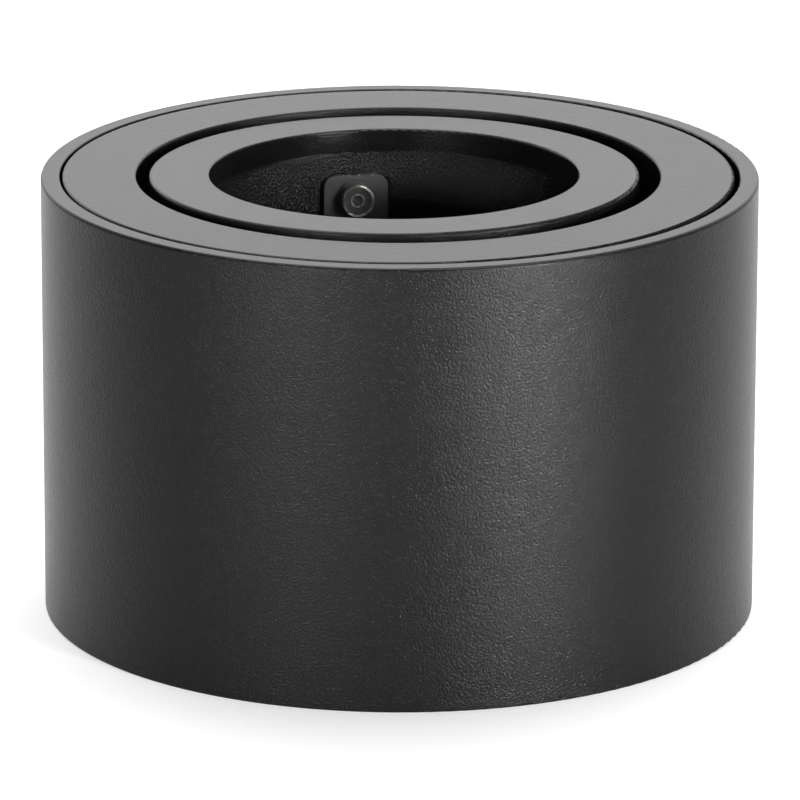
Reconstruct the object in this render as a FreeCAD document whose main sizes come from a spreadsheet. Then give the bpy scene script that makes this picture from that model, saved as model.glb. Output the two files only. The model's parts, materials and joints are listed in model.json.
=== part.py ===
import FreeCAD, Part
import os
import re
import Sketcher

# A surface mounted ceiling spotlight with a double gimbal, in millimetres.
# It stands on its ceiling face: z = 0 is the ceiling, and +Z points out of the light opening.
# The gimbal insert has a frame of its own: its X axis is the inner ring's pivot axis, its
# Y axis the outer ring's pivot axis, and the lamp strap hangs in its YZ plane.

SIZES = {
    # housing: a cast aluminium cup with an inner wall (the web) just off the ceiling
    "housing_radius": 65.0,
    "housing_wall": 2.7,
    "rim_width": 3.45,
    "mouth_lip": 2.0,
    "web_height": 5.0,
    "web_thickness": 2.5,
    "web_fillet": 3.0,
    "recess_fillet": 1.2,
    "rim_round": 0.6,
    "mouth_round": 0.3,
    "foot_round": 0.4,
    # what sets the housing's height: the lamp, its holder and the room under the strap
    "lamp_recess": 4.5,
    "lamp_length": 46.5,
    "holder_height": 15.5,
    "strap_sheet": 1.2,
    "floor_gap": 5.8,
    # clearances that many pieces share
    "seat_gap": 0.05,
    "running_gap": 0.05,
    "thread_gap": 0.02,
    "screw_hole_gap": 0.25,
    # fasteners
    "screw_four": 2.0,
    "screw_four_head": 4.0,
    "screw_four_head_height": 2.6,
    "screw_three": 1.5,
    "screw_three_head": 2.75,
    "screw_three_head_height": 2.0,
    "screw_tip": 1.4,
    "washer_three": 2.8,
    "washer_sheet": 0.8,
    "washer_margin": 0.5,
    # ceiling bracket: a hat-shaped steel bar, its ends on the ceiling, its bridge under the web
    "bar_sheet": 1.5,
    "bar_width": 26.0,
    "bar_end_gap": 5.3,
    "bar_bridge": 33.0,
    "bar_joggle": 3.0,
    "bar_mitre": 0.7,
    "bar_corner": 4.0,
    "fixing_slot_margin": 11.0,
    "fixing_slot_length": 14.0,
    "fixing_slot_radius": 2.2,
    "housing_screw_offset": 28.0,
    # cable entry and its rubber grommet
    "cable_entry_offset": 27.0,
    "cable_entry_radius": 6.5,
    "grommet_bore": 4.2,
    "grommet_flange": 9.0,
    "grommet_lip": 1.3,
    "grommet_round": 0.5,
    # earth screw on a cast boss
    "earth_x": 30.0,
    "earth_y": 27.0,
    "earth_boss_radius": 5.5,
    "earth_boss_height": 2.5,
    "earth_screw_depth": 3.5,
    # terminal block: three poles in a row
    "terminal_wall_gap": 4.8,
    "terminal_width": 17.0,
    "terminal_pitch": 8.2,
    "terminal_tower": 6.6,
    "terminal_base_height": 6.4,
    "terminal_height": 13.0,
    "barrel_radius": 2.5,
    "barrel_bore": 1.7,
    "barrel_level": 4.2,
    "barrel_length": 14.0,
    "clamp_screw": 1.3,
    "clamp_screw_head": 1.8,
    "clamp_screw_head_height": 1.4,
    "clamp_screw_offset": 4.2,
    "clamp_well": 2.1,
    "clamp_screw_depth": 1.6,
    "terminal_screw": 1.1,
    "terminal_screw_head": 1.9,
    "terminal_screw_head_height": 1.5,
    # how the gimbal insert sits in the housing
    "insert_azimuth": 10.5,
    "insert_play": 0.28,
    # pivot brackets: two steel L arms that carry the outer ring
    "arm_mouth_gap": 1.15,
    "arm_sheet": 2.0,
    "arm_width": 8.6,
    "arm_corner": 4.2,
    "arm_bend": 1.4,
    "foot_length": 16.0,
    "foot_screw_first": 3.3,
    "foot_screw_pitch": 6.2,
    # outer ring
    "outer_ring_gap": 0.75,
    "outer_ring_width": 13.35,
    "outer_plate": 2.6,
    "outer_flare": 0.3,
    "outer_rim_height": 3.3,
    "outer_skirt_wall": 2.4,
    "outer_skirt_depth": 10.0,
    "outer_rib_wall": 1.8,
    "outer_rib_height": 2.4,
    "outer_rib_inset": 3.6,
    "outer_pivot_depth": 8.0,
    "outer_boss_radius": 4.2,
    "ring_round": 0.5,
    # outer pivots: dog-point set screws in the ring, turning in the arms
    "dog_radius": 1.25,
    "set_screw_inset": 0.5,
    "pivot_washer": 1.7,
    "pivot_washer_radius": 4.0,
    "set_screw_key": 1.0,
    "set_screw_key_depth": 2.0,
    # inner ring
    "gimbal_gap": 3.05,
    "aperture_radius": 33.45,
    "lip_depth": 4.8,
    "flange_depth": 3.0,
    "flange_overhang": 1.2,
    "skirt_wall": 2.4,
    "skirt_depth": 20.0,
    "inner_round": 0.6,
    "aperture_round": 0.4,
    "inner_rest_tilt": 0.85,
    "inner_play": 0.75,
    # inner pivots: shoulder screws fixed in the outer ring's lugs
    "inner_pivot_depth": 12.5,
    "lug_wall": 3.4,
    "lug_width": 10.0,
    "lug_end": 4.5,
    "shoulder_radius": 2.0,
    "pivot_head": 3.5,
    "pivot_head_height": 2.2,
    "pivot_key": 1.25,
    "spacer_radius": 4.0,
    "spring_sheet": 0.5,
    # lamp strap: a bent steel strip under the lampholder
    "strap_width": 12.1,
    "strap_screw_depth": 14.55,
    "strap_end": 4.45,
    "strap_corner": 2.2,
    "strap_slope": 53.0,
    "strap_base_margin": 2.0,
    "strap_lead_hole": 4.0,
    "strap_bend": 1.0,
    "strap_screw_head": 2.95,
    "strap_screw_head_height": 1.9,
    "strap_screw_round": 0.35,
    "strap_screw_dish": 2.5,
    "strap_screw_dish_floor": 1.7,
    "strap_screw_dish_depth": 0.45,
    "strap_screw_key": 1.0,
    "strap_screw_key_depth": 0.95,
    "strap_washer": 3.6,
    "strap_washer_sheet": 0.5,
    "nut_key": 2.75,
    "nut_height": 2.4,
    # lampholder with two keyhole slots for a twist-and-lock lamp cap
    "holder_radius": 13.5,
    "holder_flat": 11.0,
    "holder_base_height": 4.5,
    "holder_round": 0.8,
    "pin_offset": 5.0,
    "pin_entry": 2.75,
    "pin_slot": 1.7,
    "pin_travel": 2.6,
    "pin_depth": 9.0,
    "holder_screw_offset": 9.0,
    "holder_counterbore": 3.2,
    "holder_counterbore_depth": 3.4,
    "contact_wall": 0.7,
    "contact_height": 5.0,
    "contact_slit": 0.8,
    "lead_notch": 1.4,
}

DOC = FreeCAD.newDocument("CeilingSpotlight")
SHEET = DOC.addObject("Spreadsheet::Sheet", "Sizes")
for row, (word, number) in enumerate(SIZES.items(), start=1):
    SHEET.set(f"A{row}", word)
    SHEET.set(f"B{row}", str(number))
    SHEET.setAlias(f"B{row}", word)
DOC.recompute()

# Levels and radii that several pieces share, as formulas on the sheet's words.
WEB_TOP = "(web_height + web_thickness)"
STRAP_FLOOR = f"({WEB_TOP} + floor_gap)"
HOLDER_SEAT = f"({STRAP_FLOOR} + strap_sheet)"
HOLDER_TOP = f"({HOLDER_SEAT} + holder_height)"
FACE = f"({HOLDER_TOP} + lamp_length + lamp_recess)"
BORE = "(housing_radius - housing_wall)"
MOUTH = "(housing_radius - rim_width)"
BAR_END = f"({BORE} - bar_end_gap)"
TERMINAL_X = f"({BORE} - terminal_wall_gap - terminal_width / 2)"

OUTER_PIVOT = f"({FACE} - outer_pivot_depth)"
INNER_PIVOT = f"({FACE} - inner_pivot_depth)"
ARM_OUTER = f"({MOUTH} - arm_mouth_gap)"
ARM_INNER = f"({ARM_OUTER} - arm_sheet)"
FOOT_START = f"({ARM_OUTER} - foot_length)"
BOSS_END = f"({ARM_INNER} - pivot_washer - 2 * seat_gap)"

OUTER_RING = f"({MOUTH} - outer_ring_gap)"
OUTER_BORE = f"({OUTER_RING} - outer_ring_width)"
LUG_OUTER = f"({OUTER_BORE} + lug_wall)"
INNER_RING = f"({OUTER_BORE} - gimbal_gap)"
SKIRT_OUTER = f"({INNER_RING} - flange_overhang)"
SKIRT_BORE = f"({SKIRT_OUTER} - skirt_wall)"

# The lamp strap's outer face lies flat on the chord of the round skirt.
STRAP_REACH = f"(sqrt({SKIRT_BORE}^2 - (strap_width / 2)^2) - seat_gap)"
STRAP_FOOT = "(holder_radius + strap_base_margin)"
STRAP_ELBOW = f"({STRAP_FLOOR} + ({STRAP_REACH} - {STRAP_FOOT}) * tan(strap_slope * 1deg))"
STRAP_SCREW = f"({FACE} - strap_screw_depth)"

# The shoulder screws' heads, and what lies between the skirt and the lugs.
PIVOT_HEAD_SEAT = f"(sqrt({SKIRT_BORE}^2 - pivot_head^2) - inner_play - seat_gap)"
LUG_SEAT = f"(sqrt({OUTER_BORE}^2 - spacer_radius^2) - seat_gap)"
SPACER = f"({LUG_SEAT} - {SKIRT_OUTER} - inner_play - seat_gap)"
SPRING_HEIGHT = "(2 * inner_play - 2 * seat_gap)"


def bound(formula):
    """The formula with each of the sheet's words made a reference to its cell."""
    return re.sub(r"[a-z_]+", lambda word: "Sizes." + word[0] if word[0] in SIZES else word[0], formula)


def value(formula):
    """What a formula comes to now, in millimetres."""
    return float(SHEET.evalExpression(formula))


def at(x="0", y="0", z="0", axis="0; 0; 1", turn="0"):
    """A place as a formula: a point, and a turn about an axis in degrees."""
    return f"placement(vector({x}; {y}; {z}); rotation(vector({axis}); {turn}))"


# The insert sits a little to one side in the housing's mouth. The inner ring has slid along
# its pivots by the play, and is tilted a little, as the light stands in the photograph.
INSERT = at(x="-insert_play", turn="insert_azimuth")
TILTED = at(x="-inner_play", z=INNER_PIVOT, axis="1; 0; 0", turn="-inner_rest_tilt")
INNER = f"{INSERT} * {TILTED} * {at(z='-' + INNER_PIVOT)}"


# Helpers for bodies, sketches and features.


def new_body(label, place=None):
    """A sub-part, or the master of repeated fasteners, built in its own frame."""
    body = DOC.addObject("PartDesign::Body", label)
    body.Label = label
    if place:
        body.setExpression("Placement", bound(place))
    return body


def sketch(body, role, offset=None):
    """A sketch on one of the body's own planes, moved along the plane's normal."""
    made = body.newObject("Sketcher::SketchObject", body.Name + "_sketch")
    plane = [f for f in body.Origin.OriginFeatures if f.Role == role][0]
    made.AttachmentSupport = (plane, [""])
    made.MapMode = "FlatFace"
    if offset:
        made.setExpression("AttachmentOffset.Base.z", bound(offset))
    return made


def hold(made, geometry, vertex, x, y):
    """Holds a point of a sketch at two formulas."""
    for kind, formula, axis in (("DistanceX", x, -2), ("DistanceY", y, -1)):
        if formula == "0":
            made.addConstraint(Sketcher.Constraint("PointOnObject", geometry, vertex, axis))
        else:
            held = Sketcher.Constraint(kind, -1, 1, geometry, vertex, value(formula))
            made.setExpression(f"Constraints[{made.addConstraint(held)}]", bound(formula))


def size(made, kind, geometry, formula):
    """Holds a radius or a length of a sketch at a formula."""
    held = Sketcher.Constraint(kind, geometry, value(formula))
    made.setExpression(f"Constraints[{made.addConstraint(held)}]", bound(formula))


def trace(made, corners):
    """A closed outline of straight lines through corners given as formulas."""
    points = [FreeCAD.Vector(value(x), value(y), 0) for x, y in corners]
    first = made.GeometryCount
    for start, end in zip(points, points[1:] + points[:1]):
        made.addGeometry(Part.LineSegment(start, end), False)
    for i, (x, y) in enumerate(corners):
        after = first + (i + 1) % len(corners)
        made.addConstraint(Sketcher.Constraint("Coincident", first + i, 2, after, 1))
        hold(made, first + i, 1, x, y)
    return made


def circle(made, x, y, radius):
    """A circle whose centre and radius are formulas."""
    centre = FreeCAD.Vector(value(x), value(y), 0)
    drawn = made.addGeometry(Part.Circle(centre, FreeCAD.Vector(0, 0, 1), value(radius)), False)
    hold(made, drawn, 3, x, y)
    size(made, "Radius", drawn, radius)
    return made


def stadium(made, centre, reach, radius, upright=False):
    """A slot with round ends, along the sketch's first axis, or upright along its second."""
    (x, y), far, wide = centre, value(reach), value(radius)
    ahead = FreeCAD.Vector(0, 1, 0) if upright else FreeCAD.Vector(1, 0, 0)
    aside = FreeCAD.Vector(-ahead.y, ahead.x, 0)
    middle = FreeCAD.Vector(value(x), value(y), 0)
    first = made.GeometryCount
    for sign in (1, -1):
        end = middle + ahead * (far * sign)
        corners = end - aside * (wide * sign), end + ahead * (wide * sign), end + aside * (wide * sign)
        made.addGeometry(Part.Arc(*corners), False)
        made.addGeometry(Part.LineSegment(corners[2], corners[2] - ahead * (2 * far * sign)), False)
    for i in range(4):
        after = first + (i + 1) % 4
        made.addConstraint(Sketcher.Constraint("Tangent", first + i, 2, after, 1))
    made.addConstraint(Sketcher.Constraint("Equal", first, first + 2))
    size(made, "Radius", first, radius)
    if upright:
        hold(made, first, 3, x, f"{y} + {reach}")
        hold(made, first + 2, 3, x, f"{y} - {reach}")
    else:
        hold(made, first, 3, f"{x} + {reach}", y)
        hold(made, first + 2, 3, f"{x} - {reach}", y)
    return made


def feature(body, kind, made=None):
    """A feature on a sketch. The body is worked out first, so that it can read its base."""
    DOC.recompute()
    added = body.newObject("PartDesign::" + kind, body.Name + "_" + kind)
    if made:
        added.Profile = made
        made.Visibility = False
    return added


def revolve(body, made):
    """The outline turned once round the body's Z axis."""
    turned = feature(body, "Revolution", made)
    turned.ReferenceAxis = (made, ["V_Axis"])
    turned.Angle = 360
    return turned


def pad(body, made, length, side="One side", back=False):
    """The outline pushed out along its normal, to both sides alike, or backwards."""
    pushed = feature(body, "Pad", made)
    pushed.SideType = side
    pushed.Reversed = back
    pushed.setExpression("Length", bound(length))
    return pushed


def pocket(body, made, length=None, side="One side", back=False):
    """The outline cut against its normal by a length or right through. It has to remove something."""
    DOC.recompute()
    before = body.Shape.Volume
    cut = feature(body, "Pocket", made)
    cut.SideType = side
    cut.Reversed = back
    cut.Type = "Length" if length else "ThroughAll"
    if length:
        cut.setExpression("Length", bound(length))
    DOC.recompute()
    if before - body.Shape.Volume < 1e-3:
        raise ValueError(f"a cut in {body.Label} removes nothing")
    return cut


def dress(body, kind, measure, radius, picked):
    """A Fillet or Chamfer of one size on the edges that a test picks."""
    DOC.recompute()
    base = body.Tip
    names = [f"Edge{i}" for i, edge in enumerate(base.Shape.Edges, start=1) if picked(edge)]
    if not names:
        raise ValueError(f"no edge of {body.Label} to dress")
    dressed = body.newObject("PartDesign::" + kind, body.Name + "_" + kind)
    dressed.Base = (base, names)
    dressed.setExpression(measure, bound(radius))
    return dressed


def fillet(body, radius, picked):
    return dress(body, "Fillet", "Radius", radius, picked)


def rim(radius, level):
    """Picks the round edge about the Z axis that has this radius at this level."""
    wide, high = value(radius), value(level)

    def picked(edge):
        ring = edge.Curve
        if not isinstance(ring, Part.Circle):
            return False
        off_axis = (ring.Center.x**2 + ring.Center.y**2) ** 0.5
        return off_axis < 1e-4 and abs(ring.Radius - wide) < 1e-4 and abs(ring.Center.z - high) < 1e-4

    return picked


def along(axis, near):
    """Picks straight edges along an axis whose midpoint passes a test."""

    def picked(edge):
        if not isinstance(edge.Curve, Part.Line) or abs(edge.Curve.Direction.dot(axis)) < 0.999:
            return False
        return near(edge.CenterOfMass)

    return picked


AXIS_X = FreeCAD.Vector(1, 0, 0)
AXIS_Y = FreeCAD.Vector(0, 1, 0)
AXIS_Z = FreeCAD.Vector(0, 0, 1)


def turned(label, corners, place=None):
    """A piece turned on a lathe: half its section, as (radius, level) corners."""
    body = new_body(label, place)
    revolve(body, trace(sketch(body, "XZ_Plane"), corners))
    return body


def hexagon(made, half_key, x="0", y="0"):
    """A hexagon by half its width across flats, its corners to left and right."""
    corner = f"({half_key} * 2 / sqrt(3))"
    ring = [("", "0"), ("/ 2", half_key), ("/ -2", half_key), ("/ -1", "0")]
    ring += [("/ -2", "-" + half_key), ("/ 2", "-" + half_key)]
    corners = [(f"{x} + {corner} {share}", y if rise == "0" else f"{y} + {rise}") for share, rise in ring]
    return trace(made, corners)


def hex_socket(body, level, half_key, depth):
    """A hexagon socket sunk from a level, or from level zero."""
    pocket(body, hexagon(sketch(body, "XY_Plane", level), half_key), depth)


def cross_slot(body, level, reach, depth):
    """A crosshead recess: two crossed slots with round ends."""
    for upright in (False, True):
        slot = stadium(sketch(body, "XY_Plane", level), ("0", "0"), reach, f"{reach} / 3", upright)
        pocket(body, slot, depth)


def screw(label, shank, length, head, height):
    """A round-headed screw that points down, its head seated at level zero."""
    shaft = [("0", f"-{length}"), (shank, f"-{length}"), (shank, "0")]
    body = turned(label, shaft + [(head, "0"), (head, height), ("0", height)])
    fillet(body, f"{height} * 0.4", rim(head, height))
    return body


def washer(label, bore, radius, sheet):
    """A flat washer that lies on level zero."""
    return turned(label, [(bore, "0"), (radius, "0"), (radius, sheet), (bore, sheet)])


def group(label, master, places, place=None):
    """Copies of a master at several places, as one node of separate solids."""
    links = []
    for spot in places:
        link = DOC.addObject("App::Link", label + "_copy")
        link.LinkedObject = master
        link.setExpression("Placement", bound(spot))
        links.append(link)
    made = DOC.addObject("Part::Compound", label)
    made.Label = label
    made.Links = links
    if place:
        made.setExpression("Placement", bound(place))
    return made


def facing_y(reach, level):
    """Two places across the Y axis, heads towards the middle."""
    rear = at(y=reach, z=level, axis="1; 0; 0", turn="90")
    front = at(y="-" + reach, z=level, axis="1; 0; 0", turn="-90")
    return [rear, front]


def facing_x(reach, level):
    """Two places across the X axis, heads towards the middle."""
    right = at(x=reach, z=level, axis="0; 1; 0", turn="-90")
    left = at(x="-" + reach, z=level, axis="0; 1; 0", turn="90")
    return [right, left]


# The pieces that stay with the ceiling.


def foot_screw_spots():
    """The four screws of the pivot brackets, in the insert's frame."""
    first = f"({FOOT_START} + foot_screw_first)"
    second = f"({first} + foot_screw_pitch)"
    return ["-" + second, "-" + first, first, second]


def housing():
    """Cast cup: round wall, web with its holes, a boss for the earth screw."""
    body = new_body("housing")
    section = [
        ("0", "web_height"),
        (BORE, "web_height"),
        (BORE, "0"),
        ("housing_radius", "0"),
        ("housing_radius", FACE),
        (MOUTH, FACE),
        (MOUTH, f"{FACE} - mouth_lip"),
        (BORE, f"{FACE} - mouth_lip"),
        (BORE, WEB_TOP),
        ("0", WEB_TOP),
    ]
    revolve(body, trace(sketch(body, "XZ_Plane"), section))
    fillet(body, "web_fillet", rim(BORE, WEB_TOP))
    fillet(body, "recess_fillet", rim(BORE, "web_height"))
    fillet(body, "rim_round", rim("housing_radius", FACE))
    fillet(body, "mouth_round", rim(MOUTH, FACE))
    fillet(body, "foot_round", rim("housing_radius", "0"))
    boss = circle(sketch(body, "XY_Plane", WEB_TOP), "-earth_x", "earth_y", "earth_boss_radius")
    pad(body, boss, "earth_boss_height")
    holes = sketch(body, "XY_Plane", f"{WEB_TOP} + earth_boss_height")
    circle(holes, "-earth_x", "earth_y", "screw_four + thread_gap")
    circle(holes, "-cable_entry_offset", "-cable_entry_offset", "cable_entry_radius")
    for side in ("", "-"):
        circle(holes, side + "housing_screw_offset", "0", "screw_four + screw_hole_gap")
        circle(holes, TERMINAL_X, side + "terminal_pitch / 2", "terminal_screw + thread_gap")
    for spot in foot_screw_spots():
        sideways = f"-insert_play - {spot} * sin(insert_azimuth * 1deg)"
        circle(holes, sideways, f"{spot} * cos(insert_azimuth * 1deg)", "screw_three + thread_gap")
    pocket(body, holes)
    return body


def ceiling_bracket():
    """Hat-shaped bar: slotted ends on the ceiling, a bridge with two tapped holes under the web."""
    body = new_body("ceiling_bracket")
    step = "(bar_bridge + bar_joggle)"
    half = [
        ("bar_bridge", "web_height"),
        (step, "bar_sheet"),
        (BAR_END, "bar_sheet"),
        (BAR_END, "0"),
        (f"{step} - bar_mitre", "0"),
        ("bar_bridge - bar_mitre", "web_height - bar_sheet"),
    ]
    section = half + [(f"-({x})", z) for x, z in reversed(half)]
    pad(body, trace(sketch(body, "XZ_Plane"), section), "bar_width", "Symmetric")
    fillet(body, "bar_corner", along(AXIS_Z, lambda p: abs(p.x) > value(BAR_END) - 1))
    holes = sketch(body, "XY_Plane", "web_height")
    for side in ("", "-"):
        circle(holes, side + "housing_screw_offset", "0", "screw_four + thread_gap")
    pocket(body, holes)
    for side in ("", "-"):
        slot = sketch(body, "XY_Plane", "web_height")
        middle = f"{side}({BAR_END} - fixing_slot_margin)"
        stadium(slot, (middle, "0"), "(fixing_slot_length / 2 - fixing_slot_radius)", "fixing_slot_radius")
        pocket(body, slot)
    return body


def housing_fasteners():
    """Two screws from inside the housing into the ceiling bracket, on washers."""
    spots = [at(x=side + "housing_screw_offset", z=WEB_TOP) for side in ("", "-")]
    wide = "screw_four_head + washer_margin"
    disc = washer("washer_four", "screw_four + screw_hole_gap", wide, "washer_sheet")
    length = "(washer_sheet + web_thickness + bar_sheet + screw_tip)"
    height = "screw_four_head_height"
    master = screw("screw_four_body", "screw_four", length, "screw_four_head", height)
    cross_slot(master, height, "screw_four_head * 0.5", f"{height} * 0.55")
    raised = [at(x=side + "housing_screw_offset", z=f"{WEB_TOP} + washer_sheet") for side in ("", "-")]
    return [group("housing_screw_washers", disc, spots), group("housing_screws", master, raised)]


def cable_grommet():
    """Rubber grommet: a groove round the edge of the web's cable hole."""
    place = at("-cable_entry_offset", "-cable_entry_offset", "web_height")
    top = "(web_thickness + grommet_lip)"
    section = [
        ("grommet_bore", "-grommet_lip"),
        ("grommet_flange", "-grommet_lip"),
        ("grommet_flange", "0"),
        ("cable_entry_radius", "0"),
        ("cable_entry_radius", "web_thickness"),
        ("grommet_flange", "web_thickness"),
        ("grommet_flange", top),
        ("grommet_bore", top),
    ]
    body = turned("cable_grommet", section, place)
    fillet(body, "grommet_round", rim("grommet_flange", top))
    fillet(body, "grommet_round", rim("grommet_bore", top))
    return body


def earth_terminal():
    """Earth screw with its washer on the cast boss."""
    seat = f"({WEB_TOP} + earth_boss_height)"
    disc = turned(
        "earth_washer",
        [
            ("screw_four + screw_hole_gap", "0"),
            ("screw_four_head + washer_margin", "0"),
            ("screw_four_head + washer_margin", "washer_sheet * 2"),
            ("screw_four_head", "washer_sheet * 2"),
            ("screw_four_head", "washer_sheet"),
            ("screw_four + screw_hole_gap", "washer_sheet"),
        ],
        at("-earth_x", "earth_y", seat),
    )
    head, height = "screw_four_head - screw_hole_gap", "screw_four_head_height"
    bolt = screw("earth_screw", "screw_four", "(washer_sheet + earth_screw_depth)", head, height)
    cross_slot(bolt, height, "screw_four_head * 0.5", f"{height} * 0.55")
    bolt.setExpression("Placement", bound(at("-earth_x", "earth_y", f"{seat} + washer_sheet")))
    return [disc, bolt]


def pole_spots(level):
    """Where each pole's two clamp screws stand, in the block's frame."""
    poles = ("-terminal_pitch", "0", "terminal_pitch")
    sides = ("-clamp_screw_offset", "clamp_screw_offset")
    return [at(x=side, y=pole, z=level) for pole in poles for side in sides]


def terminal_block():
    """Three-pole strip: towers over bored barrels, screw wells on top, fixing holes between."""
    body = new_body("terminal_block", at(x=TERMINAL_X, z=WEB_TOP))
    half = "(terminal_tower / 2)"
    profile = [("terminal_pitch + " + half, "0")]
    for pole in ("terminal_pitch", "0", "-terminal_pitch"):
        right, left = f"{pole} + {half}", f"{pole} - {half}"
        profile += [(right, "terminal_height"), (left, "terminal_height")]
        if pole != "-terminal_pitch":
            next_tower = f"{left} - terminal_pitch + terminal_tower"
            profile += [(left, "terminal_base_height"), (next_tower, "terminal_base_height")]
    profile += [(f"-terminal_pitch - {half}", "0")]
    pad(body, trace(sketch(body, "YZ_Plane"), profile), "terminal_width", "Symmetric")
    bores = sketch(body, "YZ_Plane")
    wells = sketch(body, "XY_Plane", "terminal_height")
    for pole in ("-terminal_pitch", "0", "terminal_pitch"):
        circle(bores, pole, "barrel_level", "barrel_radius + seat_gap")
        for side in ("", "-"):
            circle(wells, side + "clamp_screw_offset", pole, "clamp_well")
    pocket(body, bores, side="Symmetric")
    pocket(body, wells, "terminal_height - barrel_level")
    fixings = sketch(body, "XY_Plane", "terminal_base_height")
    sinks = sketch(body, "XY_Plane", "terminal_height")
    for side in ("", "-"):
        circle(fixings, "0", side + "terminal_pitch / 2", "terminal_screw + screw_hole_gap")
        circle(sinks, "0", side + "terminal_pitch / 2", "terminal_screw_head + screw_hole_gap")
    pocket(body, sinks, "terminal_height - terminal_base_height")
    pocket(body, fixings)
    return body


def terminal_metal():
    """Brass barrels in the block, their clamp screws, and the two screws that hold the block."""
    place = at(x=TERMINAL_X, z=WEB_TOP)
    half = "(barrel_length / 2)"
    low = [("barrel_bore", "-" + half), ("barrel_radius", "-" + half)]
    tube = turned("barrel_tube", low + [("barrel_radius", half), ("barrel_bore", half)])
    for side in ("", "-"):
        taps = circle(sketch(tube, "YZ_Plane"), "0", side + "clamp_screw_offset", "clamp_screw + thread_gap")
        pocket(tube, taps, "barrel_radius", back=True)
    rows = ("-terminal_pitch", "0", "terminal_pitch")
    poles = [at(y=pole, z="barrel_level", axis="0; 1; 0", turn="-90") for pole in rows]
    seat = "(barrel_level + barrel_radius + clamp_screw_depth)"
    reach = "(barrel_radius - barrel_bore + clamp_screw_depth + clamp_screw_head_height / 2)"
    clamp = screw("clamp_screw_body", "clamp_screw", reach, "clamp_screw_head", "clamp_screw_head_height")
    level = "clamp_screw_head_height"
    across = stadium(sketch(clamp, "XY_Plane", level), ("0", "0"), "clamp_screw_head", "clamp_screw_head / 6")
    pocket(clamp, across, f"{level} / 2")
    length = "(terminal_base_height + web_thickness)"
    level = "terminal_screw_head_height"
    fixing = screw("terminal_fixing", "terminal_screw", length, "terminal_screw_head", level)
    cross_slot(fixing, level, "terminal_screw_head * 0.5", f"{level} / 2")
    spots = [at(y=side + "terminal_pitch / 2", z="terminal_base_height") for side in ("", "-")]
    return [
        group("terminal_barrels", tube, poles, place),
        group("terminal_clamp_screws", clamp, pole_spots(seat), place),
        group("terminal_block_screws", fixing, spots, place),
    ]


def pivot_bracket(label, turn):
    """Steel L: a foot on the web and an arm up the housing's wall to the outer ring's pivot."""
    body = new_body(label, f"{INSERT} * {at(turn=turn)}")
    foot = f"({WEB_TOP} + arm_sheet)"
    top = f"({OUTER_PIVOT} + arm_width / 2 - seat_gap)"
    section = [
        (FOOT_START, WEB_TOP),
        (ARM_OUTER, WEB_TOP),
        (ARM_OUTER, top),
        (ARM_INNER, top),
        (ARM_INNER, foot),
        (FOOT_START, foot),
    ]
    pad(body, trace(sketch(body, "YZ_Plane"), section), "arm_width", "Symmetric")
    high, far = value(top), value(ARM_OUTER)
    low, inner = value(WEB_TOP), value(ARM_INNER)
    fillet(body, "arm_corner", along(AXIS_Y, lambda p: p.z > high - 0.1))
    fillet(body, "arm_corner / 2", along(AXIS_Z, lambda p: p.y < value(FOOT_START) + 0.1))
    fillet(body, "arm_bend", along(AXIS_X, lambda p: abs(p.y - inner) < 0.1 and p.z < high - 1))
    fillet(body, "arm_bend + arm_sheet", along(AXIS_X, lambda p: abs(p.y - far) < 0.1 and p.z < low + 0.1))
    pivot = circle(sketch(body, "XZ_Plane"), "0", OUTER_PIVOT, "dog_radius + running_gap")
    pocket(body, pivot)
    holes = sketch(body, "XY_Plane", foot)
    for spot in foot_screw_spots()[2:]:
        circle(holes, "0", spot, "screw_three + screw_hole_gap")
    pocket(body, holes)
    return body


def pivot_bracket_fasteners():
    """Four screws with washers that hold the pivot brackets to the web."""
    foot = f"({WEB_TOP} + arm_sheet)"
    disc = washer("washer_three", "screw_three + screw_hole_gap", "washer_three", "washer_sheet")
    length = "(washer_sheet + arm_sheet + web_thickness)"
    height = "screw_three_head_height"
    master = screw("screw_three_body", "screw_three", length, "screw_three_head", height)
    cross_slot(master, height, "screw_three_head * 0.5", f"{height} * 0.55")
    low = [at(y=spot, z=foot) for spot in foot_screw_spots()]
    high = [at(y=spot, z=f"{foot} + washer_sheet") for spot in foot_screw_spots()]
    washers = group("pivot_bracket_washers", disc, low, INSERT)
    return [washers, group("pivot_bracket_screws", master, high, INSERT)]


def outer_pivot_washers():
    """Nylon friction washers on the pivots, between the ring's bosses and the arms."""
    disc = washer("pivot_washer_body", "dog_radius + running_gap", "pivot_washer_radius", "pivot_washer")
    return group("outer_pivot_washers", disc, facing_y(f"({ARM_INNER} - seat_gap)", OUTER_PIVOT), INSERT)


# The outer ring and what turns with it.


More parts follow.
